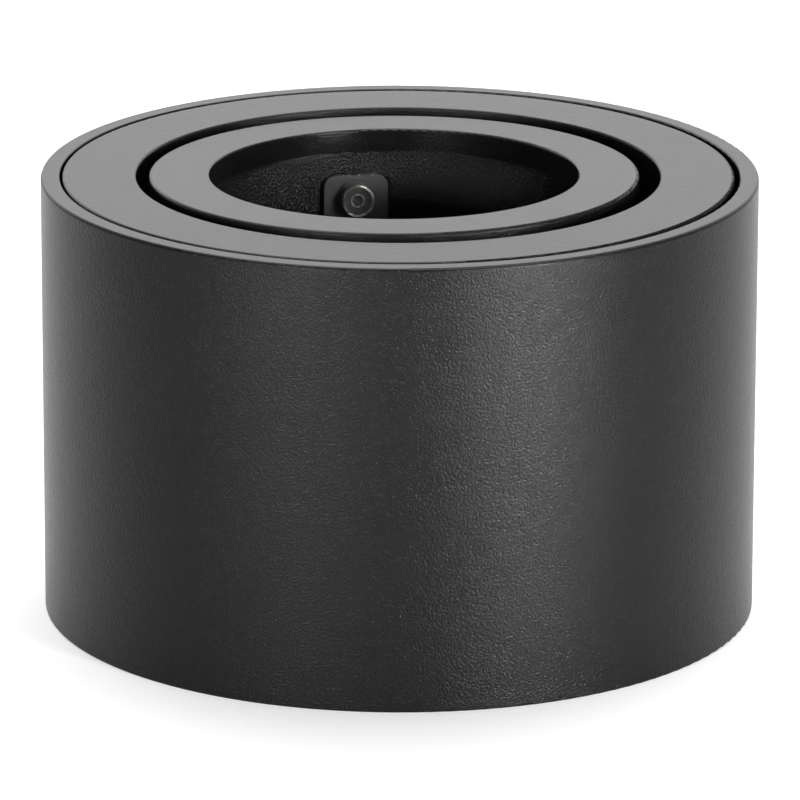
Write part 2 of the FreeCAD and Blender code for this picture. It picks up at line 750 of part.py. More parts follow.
def outer_ring():
    """Cast gimbal ring: flat face, flared rim, skirt, bosses and lugs for the four pivots."""
    body = new_body("outer_ring", INSERT)
    skirt = f"({OUTER_BORE} + outer_skirt_wall)"
    rib_outer = f"({OUTER_RING} - outer_rib_inset)"
    plate = f"({FACE} - outer_plate)"
    section = [
        (OUTER_BORE, FACE),
        (OUTER_RING, FACE),
        (f"{OUTER_RING} + outer_flare", f"{FACE} - outer_rim_height"),
        (f"{OUTER_RING} + outer_flare - outer_rib_wall", f"{FACE} - outer_rim_height"),
        (f"{OUTER_RING} + outer_flare - outer_rib_wall", plate),
        (skirt, plate),
        (skirt, f"{FACE} - outer_skirt_depth"),
        (OUTER_BORE, f"{FACE} - outer_skirt_depth"),
    ]
    revolve(body, trace(sketch(body, "XZ_Plane"), section))
    bosses = circle(sketch(body, "XZ_Plane"), "0", OUTER_PIVOT, "outer_boss_radius")
    pad(body, bosses, f"2 * {BOSS_END}", "Symmetric")
    bottom = f"({INNER_PIVOT} - lug_end)"
    lugs = sketch(body, "XY_Plane", bottom)
    for side in ("", "-"):
        near, far = f"{side}({OUTER_BORE} - lug_wall)", side + LUG_OUTER
        corners = [(near, "-lug_width / 2"), (far, "-lug_width / 2")]
        trace(lugs, corners + [(far, "lug_width / 2"), (near, "lug_width / 2")])
    pad(body, lugs, f"{plate} - {bottom}")
    low, wide = value(bottom), value("lug_width") / 2
    ends = along(AXIS_X, lambda p: abs(p.z - low) < 0.1 and abs(abs(p.y) - wide) < 0.1)
    fillet(body, "lug_end * 0.8", ends)
    pocket(body, circle(sketch(body, "XY_Plane", f"{FACE} + outer_plate"), "0", "0", OUTER_BORE))
    screws = circle(sketch(body, "XZ_Plane"), "0", OUTER_PIVOT, "screw_four + thread_gap")
    pocket(body, screws, side="Symmetric")
    taps = circle(sketch(body, "YZ_Plane"), "0", INNER_PIVOT, "screw_three + thread_gap")
    pocket(body, taps, side="Symmetric")
    fillet(body, "ring_round", rim(OUTER_RING, FACE))
    fillet(body, "ring_round", rim(OUTER_BORE, FACE))
    return body


def outer_pivot_screws():
    """Dog-point set screws: threaded in the ring's bosses, their dogs turn in the arms."""
    start = f"({OUTER_BORE} + set_screw_inset)"
    thread = f"({BOSS_END} - {start} - seat_gap)"
    tip = f"({ARM_OUTER} - {start} - seat_gap)"
    master = turned(
        "set_screw_body",
        [
            ("0", "-" + tip),
            ("dog_radius", "-" + tip),
            ("dog_radius", "-" + thread),
            ("screw_four", "-" + thread),
            ("screw_four", "0"),
            ("0", "0"),
        ],
    )
    hex_socket(master, None, "set_screw_key", "set_screw_key_depth")
    return group("outer_pivot_screws", master, facing_y(start, OUTER_PIVOT), INSERT)


def inner_pivot_pieces():
    """Shoulder screws through the skirt into the lugs, nylon spacers, conical spring washers."""
    shoulder = f"(sqrt({OUTER_BORE}^2 - shoulder_radius^2) - {PIVOT_HEAD_SEAT} - seat_gap)"
    length = f"({LUG_OUTER} - {PIVOT_HEAD_SEAT})"
    master = turned(
        "shoulder_screw_body",
        [
            ("0", "-" + length),
            ("screw_three", "-" + length),
            ("screw_three", "-" + shoulder),
            ("shoulder_radius", "-" + shoulder),
            ("shoulder_radius", "0"),
            ("pivot_head", "0"),
            ("pivot_head", "pivot_head_height"),
            ("0", "pivot_head_height"),
        ],
    )
    fillet(master, "pivot_head_height / 4", rim("pivot_head", "pivot_head_height"))
    hex_socket(master, "pivot_head_height", "pivot_key", "pivot_head_height * 0.6")
    bore = "shoulder_radius + running_gap"
    ring = washer("spacer_body", bore, "spacer_radius", SPACER)
    cone = [
        (bore, f"{SPRING_HEIGHT} - spring_sheet"),
        ("spacer_radius", "0"),
        ("spacer_radius", "spring_sheet"),
        (bore, SPRING_HEIGHT),
    ]
    spring = turned("spring_washer_body", cone)
    spacers = facing_x(LUG_SEAT, INNER_PIVOT)
    behind_skirt = f"({SKIRT_OUTER} - inner_play + seat_gap + {SPRING_HEIGHT})"
    under_head = f"({PIVOT_HEAD_SEAT} + seat_gap)"
    springs = [
        at(x=behind_skirt, z=INNER_PIVOT, axis="0; 1; 0", turn="-90"),
        at(x=f"-{under_head}", z=INNER_PIVOT, axis="0; 1; 0", turn="-90"),
    ]
    return [
        group("inner_pivot_screws", master, facing_x(PIVOT_HEAD_SEAT, INNER_PIVOT), INSERT),
        group("inner_pivot_spacers", ring, spacers, INSERT),
        group("inner_pivot_spring_washers", spring, springs, INSERT),
    ]


# The inner ring and what turns with it.


def inner_ring():
    """Cast gimbal ring: thick lip round the light opening, flange, and a deeper skirt."""
    body = new_body("inner_ring", INNER)
    section = [
        ("aperture_radius", FACE),
        (INNER_RING, FACE),
        (INNER_RING, f"{FACE} - flange_depth"),
        (SKIRT_OUTER, f"{FACE} - flange_depth"),
        (SKIRT_OUTER, f"{FACE} - skirt_depth"),
        (SKIRT_BORE, f"{FACE} - skirt_depth"),
        (SKIRT_BORE, f"{FACE} - lip_depth"),
        ("aperture_radius", f"{FACE} - lip_depth"),
    ]
    revolve(body, trace(sketch(body, "XZ_Plane"), section))
    fillet(body, "inner_round", rim(INNER_RING, FACE))
    fillet(body, "aperture_round", rim("aperture_radius", FACE))
    pivots = circle(sketch(body, "YZ_Plane"), "0", INNER_PIVOT, "shoulder_radius + running_gap")
    pocket(body, pivots, side="Symmetric")
    screws = circle(sketch(body, "XZ_Plane"), "0", STRAP_SCREW, "screw_three + screw_hole_gap")
    pocket(body, screws, side="Symmetric")
    return body


def lamp_strap():
    """Bent strip: legs flat inside the skirt, drawn in to a narrow base under the lampholder."""
    body = new_body("lamp_strap", INNER)
    top = f"({STRAP_SCREW} + strap_end)"
    at_base = "strap_sheet * tan(strap_slope / 2 * 1deg)"
    at_elbow = "strap_sheet * tan((90 - strap_slope) / 2 * 1deg)"
    half = [
        (STRAP_FOOT, STRAP_FLOOR),
        (STRAP_REACH, STRAP_ELBOW),
        (STRAP_REACH, top),
        (f"{STRAP_REACH} - strap_sheet", top),
        (f"{STRAP_REACH} - strap_sheet", f"{STRAP_ELBOW} + {at_elbow}"),
        (f"{STRAP_FOOT} - {at_base}", HOLDER_SEAT),
    ]
    section = half + [(f"-({y})", z) for y, z in reversed(half)]
    pad(body, trace(sketch(body, "YZ_Plane"), section), "strap_width", "Symmetric")
    high = value(top)

    def bend(corner):
        y, z = value(corner[0]), value(corner[1])
        return along(AXIS_X, lambda p: abs(abs(p.y) - y) < 0.05 and abs(p.z - z) < 0.05)

    for outside, inside in ((half[0], half[5]), (half[1], half[4])):
        fillet(body, "strap_bend + strap_sheet", bend(outside))
        fillet(body, "strap_bend", bend(inside))
    fillet(body, "strap_corner", along(AXIS_Y, lambda p: abs(p.z - high) < 0.05))
    screws = circle(sketch(body, "XZ_Plane"), "0", STRAP_SCREW, "screw_three + screw_hole_gap")
    pocket(body, screws, side="Symmetric")
    holes = sketch(body, "XY_Plane", HOLDER_SEAT)
    circle(holes, "0", "0", "strap_lead_hole")
    for side in ("", "-"):
        circle(holes, "0", side + "holder_screw_offset", "screw_three + thread_gap")
    pocket(body, holes)
    return body


def strap_fasteners():
    """Dished hex socket screws on washers, through strap and skirt, with nuts behind the skirt."""
    face = f"({STRAP_REACH} - strap_sheet)"
    disc = washer("strap_washer_body", "screw_three + screw_hole_gap", "strap_washer", "strap_washer_sheet")
    seat = f"({face} - strap_washer_sheet)"
    nut_seat = f"({SKIRT_OUTER} + seat_gap)"
    length = f"({nut_seat} + nut_height - {seat})"
    head, height = "strap_screw_head", "strap_screw_head_height"
    floor = f"({height} - strap_screw_dish_depth)"
    shaft = [("0", "-" + length), ("screw_three", "-" + length), ("screw_three", "0")]
    dished = [(head, "0"), (head, height), ("strap_screw_dish", height), ("strap_screw_dish_floor", floor)]
    master = turned("strap_screw_body", shaft + dished + [("0", floor)])
    fillet(master, "strap_screw_round", rim(head, height))
    fillet(master, "strap_screw_round / 2", rim("strap_screw_dish", height))
    hex_socket(master, floor, "strap_screw_key", "strap_screw_key_depth")
    nut = new_body("nut_three_body")
    outline = hexagon(sketch(nut, "XY_Plane"), "nut_key")
    pad(nut, circle(outline, "0", "0", "screw_three + thread_gap"), "nut_height")
    outside = f"({nut_seat} + nut_height)"
    return [
        group("strap_screw_washers", disc, facing_y(face, STRAP_SCREW), INNER),
        group("strap_screws", master, facing_y(seat, STRAP_SCREW), INNER),
        group("strap_nuts", nut, facing_y(outside, STRAP_SCREW), INNER),
    ]


def holder_blank(label, seat, height):
    """A ceramic piece of the lampholder: a disc with two flats."""
    body = new_body(label, INNER)
    pad(body, circle(sketch(body, "XY_Plane", seat), "0", "0", "holder_radius"), height)
    for side in ("", "-"):
        near, far = f"{side}holder_flat", f"{side}2 * holder_radius"
        corners = [(near, "-holder_radius"), (far, "-holder_radius")]
        corners += [(far, "holder_radius"), (near, "holder_radius")]
        pocket(body, trace(sketch(body, "XY_Plane", f"{seat} + {height}"), corners))
    return body


def lampholder():
    """Ceramic body with keyhole slots, ceramic base, contact clips, and two screws."""
    joint = f"({HOLDER_SEAT} + holder_base_height)"
    base = holder_blank("lampholder_base", HOLDER_SEAT, "holder_base_height")
    body = holder_blank("lampholder_body", joint, f"({HOLDER_TOP} - {joint})")
    high = value(HOLDER_TOP)
    fillet(body, "holder_round", lambda edge: abs(edge.CenterOfMass.z - high) < 0.01)
    for side in ("", "-"):
        entry = circle(sketch(body, "XY_Plane", HOLDER_TOP), f"{side}pin_offset", "0", "pin_entry")
        pocket(body, entry, "pin_depth")
        twist = sketch(body, "XY_Plane", HOLDER_TOP)
        middle = (f"{side}pin_offset", f"{side}pin_travel / 2")
        stadium(twist, middle, "pin_travel / 2", "pin_slot", upright=True)
        pocket(body, twist, "pin_depth")
        spot = f"{side}holder_screw_offset"
        for piece, level in ((body, HOLDER_TOP), (base, joint)):
            through = circle(sketch(piece, "XY_Plane", level), "0", spot, "screw_three + screw_hole_gap")
            pocket(piece, through)
        sink = circle(sketch(body, "XY_Plane", HOLDER_TOP), "0", spot, "holder_counterbore")
        pocket(body, sink, "holder_counterbore_depth")
        notch = circle(sketch(base, "XY_Plane", joint), f"{side}pin_offset", "0", "lead_notch")
        pocket(base, notch)
    wide, thin = "(pin_entry - seat_gap)", "(pin_entry - seat_gap - contact_wall)"
    sleeve = [(thin, "0"), (wide, "0"), (wide, "contact_height"), (thin, "contact_height")]
    clip = turned("contact_body", sleeve)
    slit = "(contact_slit / 2)"
    edge = [("0", "-" + slit), (f"2 * {wide}", "-" + slit), (f"2 * {wide}", slit), ("0", slit)]
    pocket(clip, trace(sketch(clip, "XY_Plane", "contact_height"), edge))
    floor = f"{HOLDER_TOP} - pin_depth"
    pits = [at(x=f"{side}pin_offset", z=floor, turn=turn) for side, turn in (("", "0"), ("-", "180"))]
    length = "(holder_height - holder_counterbore_depth + strap_sheet)"
    height = "screw_three_head_height"
    bolt = screw("holder_screw_body", "screw_three", length, "screw_three_head", height)
    cross_slot(bolt, height, "screw_three_head * 0.5", f"{height} * 0.55")
    sunk = f"{HOLDER_TOP} - holder_counterbore_depth"
    bolts = [at(y=side + "holder_screw_offset", z=sunk) for side in ("", "-")]
    contacts = group("lampholder_contacts", clip, pits, INNER)
    return [base, body, contacts, group("lampholder_screws", bolt, bolts, INNER)]


NODES = [
    housing(),
    ceiling_bracket(),
    *housing_fasteners(),
    cable_grommet(),
    *earth_terminal(),
    terminal_block(),
    *terminal_metal(),
    pivot_bracket("rear_pivot_bracket", "0"),
    pivot_bracket("front_pivot_bracket", "180"),
    *pivot_bracket_fasteners(),
    outer_pivot_washers(),
    outer_ring(),
    outer_pivot_screws(),
    *inner_pivot_pieces(),
    inner_ring(),
    lamp_strap(),
    *strap_fasteners(),
    *lampholder(),
]
DOC.recompute()

for thing in DOC.Objects:
    if "Invalid" in thing.State or "Error" in thing.State:
        raise ValueError(f"{thing.Label} failed: {thing.State}")
for node in NODES:
    if node.Shape.isNull() or not node.Shape.isValid():
        raise ValueError(f"{node.Label} has no valid shape")

os.makedirs("parts", exist_ok=True)
for node in NODES:
    node.Shape.exportStep(f"parts/{node.Label}.step")
    print(node.Label, len(node.Shape.Solids), round(node.Shape.Volume, 1))
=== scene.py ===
import json
import math

import bmesh
import bpy
from bpy.props import FloatProperty, FloatVectorProperty, PointerProperty
from bpy.types import Operator, Panel, PropertyGroup
from mathutils import Matrix, Vector


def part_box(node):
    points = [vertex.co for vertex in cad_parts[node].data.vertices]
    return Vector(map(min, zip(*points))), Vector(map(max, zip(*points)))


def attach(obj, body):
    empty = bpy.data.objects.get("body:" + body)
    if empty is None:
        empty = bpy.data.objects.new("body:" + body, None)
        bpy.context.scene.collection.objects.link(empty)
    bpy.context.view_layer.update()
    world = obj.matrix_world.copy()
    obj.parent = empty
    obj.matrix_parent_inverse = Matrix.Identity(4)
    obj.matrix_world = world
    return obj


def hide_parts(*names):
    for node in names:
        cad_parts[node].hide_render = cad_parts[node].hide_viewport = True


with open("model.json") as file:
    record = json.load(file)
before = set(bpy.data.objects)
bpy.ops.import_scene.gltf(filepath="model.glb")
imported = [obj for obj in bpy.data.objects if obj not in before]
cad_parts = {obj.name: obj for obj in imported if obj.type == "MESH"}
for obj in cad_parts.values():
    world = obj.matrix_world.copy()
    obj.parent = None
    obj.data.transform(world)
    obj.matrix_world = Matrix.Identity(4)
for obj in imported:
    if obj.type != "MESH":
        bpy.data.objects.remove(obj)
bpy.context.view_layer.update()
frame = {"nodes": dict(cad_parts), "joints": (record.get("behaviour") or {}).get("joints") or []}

bl_info = {
    "name": "Ceiling Spotlight Finishes",
    "version": (1, 0, 0),
    "blender": (4, 5, 0),
    "location": "View3D > Sidebar > Spotlight",
    "description": "Dresses a surface mounted gimbal spotlight in its coatings, metals and ceramics",
    "category": "Object",
}

MM = 0.001
NODES = frame["nodes"]
JOINTS = {joint["name"]: joint for joint in frame["joints"]}

# Each texture's scale in waves per metre, its detail and its roughness.
TEXTURES = {
    "orange_peel": (420.0, 2.0, 0.4),
    "coat_patches": (800.0, 2.0, 0.5),
    "coat_dust": (95.0, 4.0, 0.6),
    "coat_painted_glints": (2600.0, 1.0, 0.5),
    "rolling_lines": (900.0, 3.0, 0.6),
    "rubbed_paint": (160.0, 5.0, 0.65),
    "chipped_paint": (1500.0, 2.0, 0.6),
    "paint_grain": (2600.0, 2.0, 0.5),
    "plate_tint": (75.0, 3.0, 0.55),
    "plate_bloom": (260.0, 5.0, 0.6),
    "drawing_lines": (1400.0, 2.0, 0.6),
    "oxide_marks": (1900.0, 2.0, 0.5),
    "worn_oxide": (500.0, 4.0, 0.6),
    "nickel_smoke": (700.0, 3.0, 0.5),
    "nickel_grain": (2400.0, 2.0, 0.5),
    "socket_stain": (900.0, 4.0, 0.6),
    "socket_grain": (3000.0, 2.0, 0.5),
    "heat_tint": (140.0, 3.0, 0.5),
    "spring_marks": (1200.0, 2.0, 0.5),
    "brass_tarnish": (220.0, 5.0, 0.6),
    "brass_turning": (1500.0, 2.0, 0.5),
    "ceramic_cloud": (110.0, 4.0, 0.6),
    "ceramic_flecks": (1300.0, 2.0, 0.5),
    "ceramic_grain": (900.0, 3.0, 0.6),
    "plastic_flow": (120.0, 3.0, 0.5),
}
CERAMIC_PORE_SCALE = 1500.0

# How high each relief stands, in metres. The powder coat's is a setting.
RELIEF = {
    "sheet": 0.000006,
    "plate": 0.000004,
    "oxide": 0.000004,
    "nickel": 0.0000015,
    "socket": 0.00001,
    "brass": 0.000003,
    "ceramic": 0.00002,
}

# The powder coat: its texture's waves for each grain, and the shares of its relief.
FLECKS_PER_GRAIN = 1.5
SKIN_PER_GRAIN = 1.25
FLECK_HEIGHT = 0.55
GRAIN_HEIGHT = 0.5
PEEL_HEIGHT = 0.1
SKIN_HEIGHT = 1.05
TURNED_FACE_SMOOTHING = 0.72
LIP_SMOOTHING = 0.5
LIP_POLISH = 0.08
SKIN_POLISH = 0.08
COAT_SHEEN = 0.15
SHEET_SHEEN = 0.35
SOCKET_SHEEN = 0.25
LACQUER_IOR = 1.5
CERAMIC_IOR = 1.55

# Places on the castings, in metres.
RIM_ROUNDING = 0.6 * MM
RIM_EDGE = 0.01 * MM
LIP_DEPTH = 4.6 * MM
LIP_EDGE = 0.4 * MM
LIP_REACH = 40 * MM
LIP_REACH_EDGE = 41 * MM

# The chips in the strap's paint start and end this far under its upper edge, in metres.
CHIP_START = 0.12 * MM
CHIP_END = 0.06 * MM

# The strap screws in millimetres, as radii and heights over the seat of the head.
TURNS = 72
SCREW_TIP = -7.05
THREAD_END = -0.35
THREAD_ROOT = 1.22
THREAD_CREST = 1.5
THREAD_PITCH = 0.5
HEAD_PROFILE = ((1.5, -0.2), (1.5, 0.0), (2.9, 0.0), (3.06, 0.1), (3.1, 0.2), (3.1, 1.6))
BEAD_MIDDLE = (2.84, 1.64)
BEAD_ROUNDING = 0.26
BEAD_STEPS = 12
DISH_PROFILE = ((2.58, 1.6), (2.4, 1.52), (1.85, 1.42), (1.6, 1.4), (1.34, 1.4))
HEXAGON_PROFILE = ((1.03, 1.38), (1.0, 1.33), (1.0, 0.55), (0.95, 0.5))
FLOOR_PROFILE = ((0.5, 0.38), (0.1, 0.3))
SOCKET_RADIUS = 1.0
CHAMFER_RADIUS = 1.3
DISH_RADIUS = 2.57
DISH_CLEARANCE = 0.1
SHARP_EDGE = math.radians(32.0)

# The studio, in metres and degrees: the points that its lamps face, and how far their grids open.
WALL_FRONT = (0.0, 0.0, 0.06)
OPENING = (-0.01, 0.03, 0.07)
NO_GRID = 180.0
LOW_GRID = 40.0
SKIM_GRID = 20.0
FLOOR_HALF = 2.5
SKY_FROM = 0.95
CAMERA_ASIDE = 0.00015
SENSOR_MM = 36.0
NEAREST = 0.05
FARTHEST = 20.0

# The Mix node's sockets by what it mixes: its share, its first, its second and its result.
MIX_SOCKETS = {"RGBA": (0, 6, 7, 2), "VECTOR": (0, 4, 5, 1)}


# Maths on sockets, and the one way to add a node.


class Value:
    """A socket's value: Python's operators on it add Math nodes to its tree."""

    def __init__(self, recipe, socket):
        self.recipe = recipe
        self.socket = socket

    def maths(self, operation, *values):
        return self.recipe.node("ShaderNodeMath", {"operation": operation}, dict(enumerate(values)))

    def __add__(self, other):
        return self.maths("ADD", self, other)

    __radd__ = __add__

    def __sub__(self, other):
        return self.maths("SUBTRACT", self, other)

    def __rsub__(self, other):
        return self.maths("SUBTRACT", other, self)

    def __mul__(self, other):
        return self.maths("MULTIPLY", self, other)

    __rmul__ = __mul__

    def most(self, other):
        return self.maths("MAXIMUM", self, other)

    def between(self, low, high):
        """0 below low, 1 above high, and smooth between them."""
        smooth = {"interpolation_type": "SMOOTHSTEP"}
        return self.recipe.node("ShaderNodeMapRange", smooth, {0: self, 1: low, 2: high})


class Recipe:
    """The node tree of a material or of the world."""

    def __init__(self, owner):
        owner.use_nodes = True
        self.owner = owner
        self.tree = owner.node_tree
        self.tree.nodes.clear()

    def node(self, kind, settings=None, inputs=None, output=0):
        """Adds a node of a type: its settings first, then its sockets' values or links."""
        made = self.tree.nodes.new(kind)
        for key, setting in (settings or {}).items():
            setattr(made, key, setting)
        for key, value in (inputs or {}).items():
            if isinstance(value, Value):
                self.tree.links.new(value.socket, made.inputs[key])
            elif made.inputs[key].type == "RGBA":
                made.inputs[key].default_value = (*value[:3], 1.0)
            else:
                made.inputs[key].default_value = value
        return Value(self, made.outputs[output])

    def vector(self, operation, *vectors, output="Vector", **inputs):
        values = dict(enumerate(vectors)) | inputs
        return self.node("ShaderNodeVectorMath", {"operation": operation}, values, output)

    def place(self):
        """The point in the light's own frame, in metres, however its joints stand."""
        return self.node("ShaderNodeTexCoord", output="Object")

    def stretched(self, *scales):
        """The same point with its axes scaled, for streaks."""
        return self.vector("MULTIPLY", self.place(), scales)

    def axis(self, name, of=None):
        """One coordinate of the point, or of another vector."""
        return self.node("ShaderNodeSeparateXYZ", None, {0: of or self.place()}, name)

    def reach(self):
        """How far the point lies from the housing's axis."""
        return self.vector("LENGTH", self.stretched(1, 1, 0), output="Value")

    def mesh_normal(self):
        return self.node("ShaderNodeNewGeometry", output="Normal")

    def noise(self, scale, detail, roughness, at=None):
        waves = {"Scale": scale, "Detail": detail, "Roughness": roughness}
        return self.node("ShaderNodeTexNoise", None, {"Vector": at or self.place()} | waves)

    def texture(self, name, at=None):
        """One of the textures that the table above lists."""
        return self.noise(*TEXTURES[name], at)

    def cells(self, scale, feature="F1"):
        inputs = {"Vector": self.place(), "Scale": scale}
        return self.node("ShaderNodeTexVoronoi", {"feature": feature}, inputs)

    def blend(self, share, first, second, kind="RGBA"):
        """A colour between two colours, or a vector between two vectors."""
        share_at, first_at, second_at, result = MIX_SOCKETS[kind]
        inputs = {share_at: share, first_at: first, second_at: second}
        return self.node("ShaderNodeMix", {"data_type": kind}, inputs, result)

    def bump(self, height, depth, over=None):
        """The normal of a relief of that depth, over the mesh's normal or another."""
        inputs = {"Height": height, "Distance": depth}
        return self.node("ShaderNodeBump", None, inputs | ({"Normal": over} if over else {}))

    def finish(self, shader, kind="ShaderNodeOutputMaterial"):
        """Leads a shader to the tree's output."""
        ending = self.tree.nodes.new(kind)
        self.tree.links.new(shader.socket, ending.inputs["Surface"])
        return self.owner


def recipe(name):
    return Recipe(bpy.data.materials.new(name))


def surface(made, **inputs):
    """A principled surface: underscores stand for the spaces in its sockets' names."""
    named = {key.replace("_", " "): value for key, value in inputs.items()}
    return made.finish(made.node("ShaderNodeBsdfPrincipled", None, named))


def paler(colour, times):
    """The same colour, so many times as strong."""
    return tuple(times * channel for channel in colour)


def tinted(colour, tint):
    """The same colour, each channel times its tint's."""
    return tuple(channel * share for channel, share in zip(colour, tint))


# The finishes of the light's own pieces.


def rim_normal(made, radius, level):
    """The exact normal of the housing's rounded rim, which its facets only come near."""
    flat = made.stretched(1, 1, 0)
    past = made.vector("LENGTH", flat, output="Value") - (radius - RIM_ROUNDING)
    above = made.axis("Z") - (level - RIM_ROUNDING)
    out = made.vector("SCALE", made.vector("NORMALIZE", flat), Scale=past.most(0))
    up = made.node("ShaderNodeCombineXYZ", None, {"Z": above.most(0)})
    exact = made.vector("NORMALIZE", made.vector("ADD", out, up))
    there = past.between(0, RIM_EDGE) * above.between(0, RIM_EDGE)
    return made.blend(there, made.mesh_normal(), exact, "VECTOR")


def drafted_normal(made, inside, slope):
    """The normal of the inner ring's skirt, which leans open as castings do."""
    turned = {"vector_type": "VECTOR", "convert_from": "OBJECT", "convert_to": "WORLD"}
    draft = made.node("ShaderNodeVectorTransform", turned, {0: (0.0, 0.0, slope)})
    below = made.node("ShaderNodeCombineXYZ", None, {0: inside, 1: inside, 2: inside})
    return made.vector("NORMALIZE", made.vector("MULTIPLY_ADD", draft, below, made.mesh_normal()))


def powder_coat(look, name="powder_coat", cast_below=None, rim=None):
    """Fine-texture matt powder coat: a crinkled grain in patches, a little orange peel under it.

    Below a level, where the casting isn't finished, its coarse skin shows through. A rim is the
    radius and the level of a rounded edge.
    """
    made = recipe(name)
    grain = made.cells(look.grain_pitch**-1, "SMOOTH_F1")
    fleck = made.noise(FLECKS_PER_GRAIN / look.grain_pitch, 2.0, 0.6)
    crinkle = FLECK_HEIGHT * fleck - GRAIN_HEIGHT * grain
    patches = 0.7 + 0.3 * made.texture("coat_patches").between(0.4, 0.6)
    own_normal = made.node("ShaderNodeTexCoord", output="Normal")
    turned_face = made.axis("Z", own_normal).between(0.4, 0.9)
    smoothed = 1 - TURNED_FACE_SMOOTHING * turned_face
    height = smoothed * patches * crinkle + PEEL_HEIGHT * made.texture("orange_peel")
    dust = made.texture("coat_dust").between(0.45, 0.75)
    roughness = look.coat_roughness + 0.08 * (fleck - 0.5) + 0.01 * dust
    over = rim_normal(made, *rim) if rim else None
    if cast_below:
        inside = 1 - made.axis("Z").between(cast_below - LIP_EDGE, cast_below)
        near = 1 - made.reach().between(LIP_REACH, LIP_REACH_EDGE)
        lip = (1 - inside) * (1 - turned_face) * near
        skin = made.noise(SKIN_PER_GRAIN / look.grain_pitch, 1.0, 0.5) - 0.5
        roughness = roughness - LIP_POLISH * lip - SKIN_POLISH * inside
        height = (1 - LIP_SMOOTHING * lip) * height + SKIN_HEIGHT * inside * skin
        over = drafted_normal(made, inside, look.skirt_draft)
    worn = 0.6 * fleck.between(0.5, 0.8) + 0.2 * dust
    colour = made.blend(worn, look.coat_colour, paler(look.coat_colour, 1.5))
    # Painted glints: sparse pale specks in the colour stand in for light glinting off the grain.
    painted_glint = made.texture("coat_painted_glints").between(0.74, 0.8)
    return surface(
        made,
        Base_Color=made.blend(0.5 * painted_glint, colour, look.painted_glint_colour),
        Roughness=roughness,
        IOR=LACQUER_IOR,
        Specular_IOR_Level=COAT_SHEEN,
        Normal=made.bump(height, look.grain_depth, over),
    )


def painted_sheet(look, name="painted_sheet", edge=None):
    """Sheet steel under a thin satin black paint, with faint rolling lines and rubbed spots.

    An edge is a direction and a level along it, above which the paint is chipped to bare metal.
    """
    made = recipe(name)
    rolled = made.texture("rolling_lines", made.stretched(1.0, 1.0, 0.12))
    rubbed = made.texture("rubbed_paint").between(0.55, 0.8)
    colour = made.blend(0.35 * rubbed, look.sheet_colour, paler(look.sheet_colour, 2.2))
    chipped = 0
    if edge:
        upward, top = edge
        along = made.vector("DOT_PRODUCT", made.place(), upward, output="Value")
        chips = made.texture("chipped_paint").between(0.5, 0.56)
        chipped = along.between(top - CHIP_START, top - CHIP_END) * chips
        colour = made.blend(chipped, colour, look.bare_colour)
    return surface(
        made,
        Base_Color=colour,
        Metallic=chipped,
        Roughness=0.5 + 0.12 * rolled - 0.06 * rubbed - 0.2 * chipped,
        IOR=LACQUER_IOR,
        Specular_IOR_Level=SHEET_SHEEN,
        Normal=made.bump(rolled + 0.4 * made.texture("paint_grain"), RELIEF["sheet"]),
    )


def plated_steel(look):
    """Bright zinc plate on steel: bluish and straw tints, fine drawing lines, a dull bloom."""
    made = recipe("plated_steel")
    tint = made.texture("plate_tint").between(0.4, 0.65)
    bloom = made.texture("plate_bloom").between(0.4, 0.75)
    lines = made.texture("drawing_lines", made.stretched(0.08, 1.0, 1.0))
    straw = tinted(look.plate_colour, (1.0, 0.965, 0.87))
    return surface(
        made,
        Base_Color=made.blend(tint, look.plate_colour, straw),
        Metallic=1.0,
        Roughness=0.24 + 0.20 * bloom + 0.05 * lines,
        Normal=made.bump(lines + 0.5 * bloom, RELIEF["plate"]),
    )


def black_oxide(look):
    """Blackened steel screws: a dark oily metal with faint turning marks."""
    made = recipe("black_oxide")
    marks = made.texture("oxide_marks")
    worn = made.texture("worn_oxide").between(0.55, 0.85)
    return surface(
        made,
        Base_Color=made.blend(0.5 * worn, look.oxide_colour, paler(look.oxide_colour, 2.4)),
        Metallic=1.0,
        Roughness=0.26 + 0.12 * marks,
        Normal=made.bump(marks, RELIEF["oxide"]),
    )


def dark_nickel(look):
    """Dark nickel plate of the strap screws: nearly a mirror, smoky in colour."""
    made = recipe("dark_nickel")
    smoke = made.texture("nickel_smoke")
    pale = paler(look.nickel_colour, 1.2)
    return surface(
        made,
        Base_Color=made.blend(smoke.between(0.35, 0.7), look.nickel_colour, pale),
        Metallic=1.0,
        Roughness=0.24 + 0.08 * smoke,
        Normal=made.bump(made.texture("nickel_grain"), RELIEF["nickel"]),
    )


def painted_shade_socket(look):
    """Painted shade in the dish and socket of the strap screws: a dull dark colour stands in for the
    shade in these hollows.
    """
    made = recipe("painted_shade_socket")
    stain = made.texture("socket_stain")
    pale = paler(look.socket_shade_colour, 2.0)
    return surface(
        made,
        Base_Color=made.blend(stain.between(0.35, 0.7), look.socket_shade_colour, pale),
        Specular_IOR_Level=SOCKET_SHEEN,
        Roughness=0.42 + 0.16 * stain,
        Normal=made.bump(stain + 0.5 * made.texture("socket_grain"), RELIEF["socket"]),
    )


def spring_metal(look):
    """Spring steel with the brown-blue cast of its hardening."""
    made = recipe("spring_metal")
    heat = made.texture("heat_tint").between(0.35, 0.7)
    return surface(
        made,
        Base_Color=made.blend(heat, look.spring_colour, look.spring_heat_colour),
        Metallic=1.0,
        Roughness=0.3 + 0.1 * made.texture("spring_marks"),
    )


def bare_brass(look):
    """Turned brass, browned a little where it has been handled."""
    made = recipe("bare_brass")
    tarnish = made.texture("brass_tarnish").between(0.45, 0.8)
    turned = made.texture("brass_turning", made.stretched(0.15, 1.0, 1.0))
    brown = tinted(look.brass_colour, (0.72, 0.62, 0.5))
    return surface(
        made,
        Base_Color=made.blend(tarnish, look.brass_colour, brown),
        Metallic=1.0,
        Roughness=0.22 + 0.18 * tarnish + 0.05 * turned,
        Normal=made.bump(turned, RELIEF["brass"]),
    )


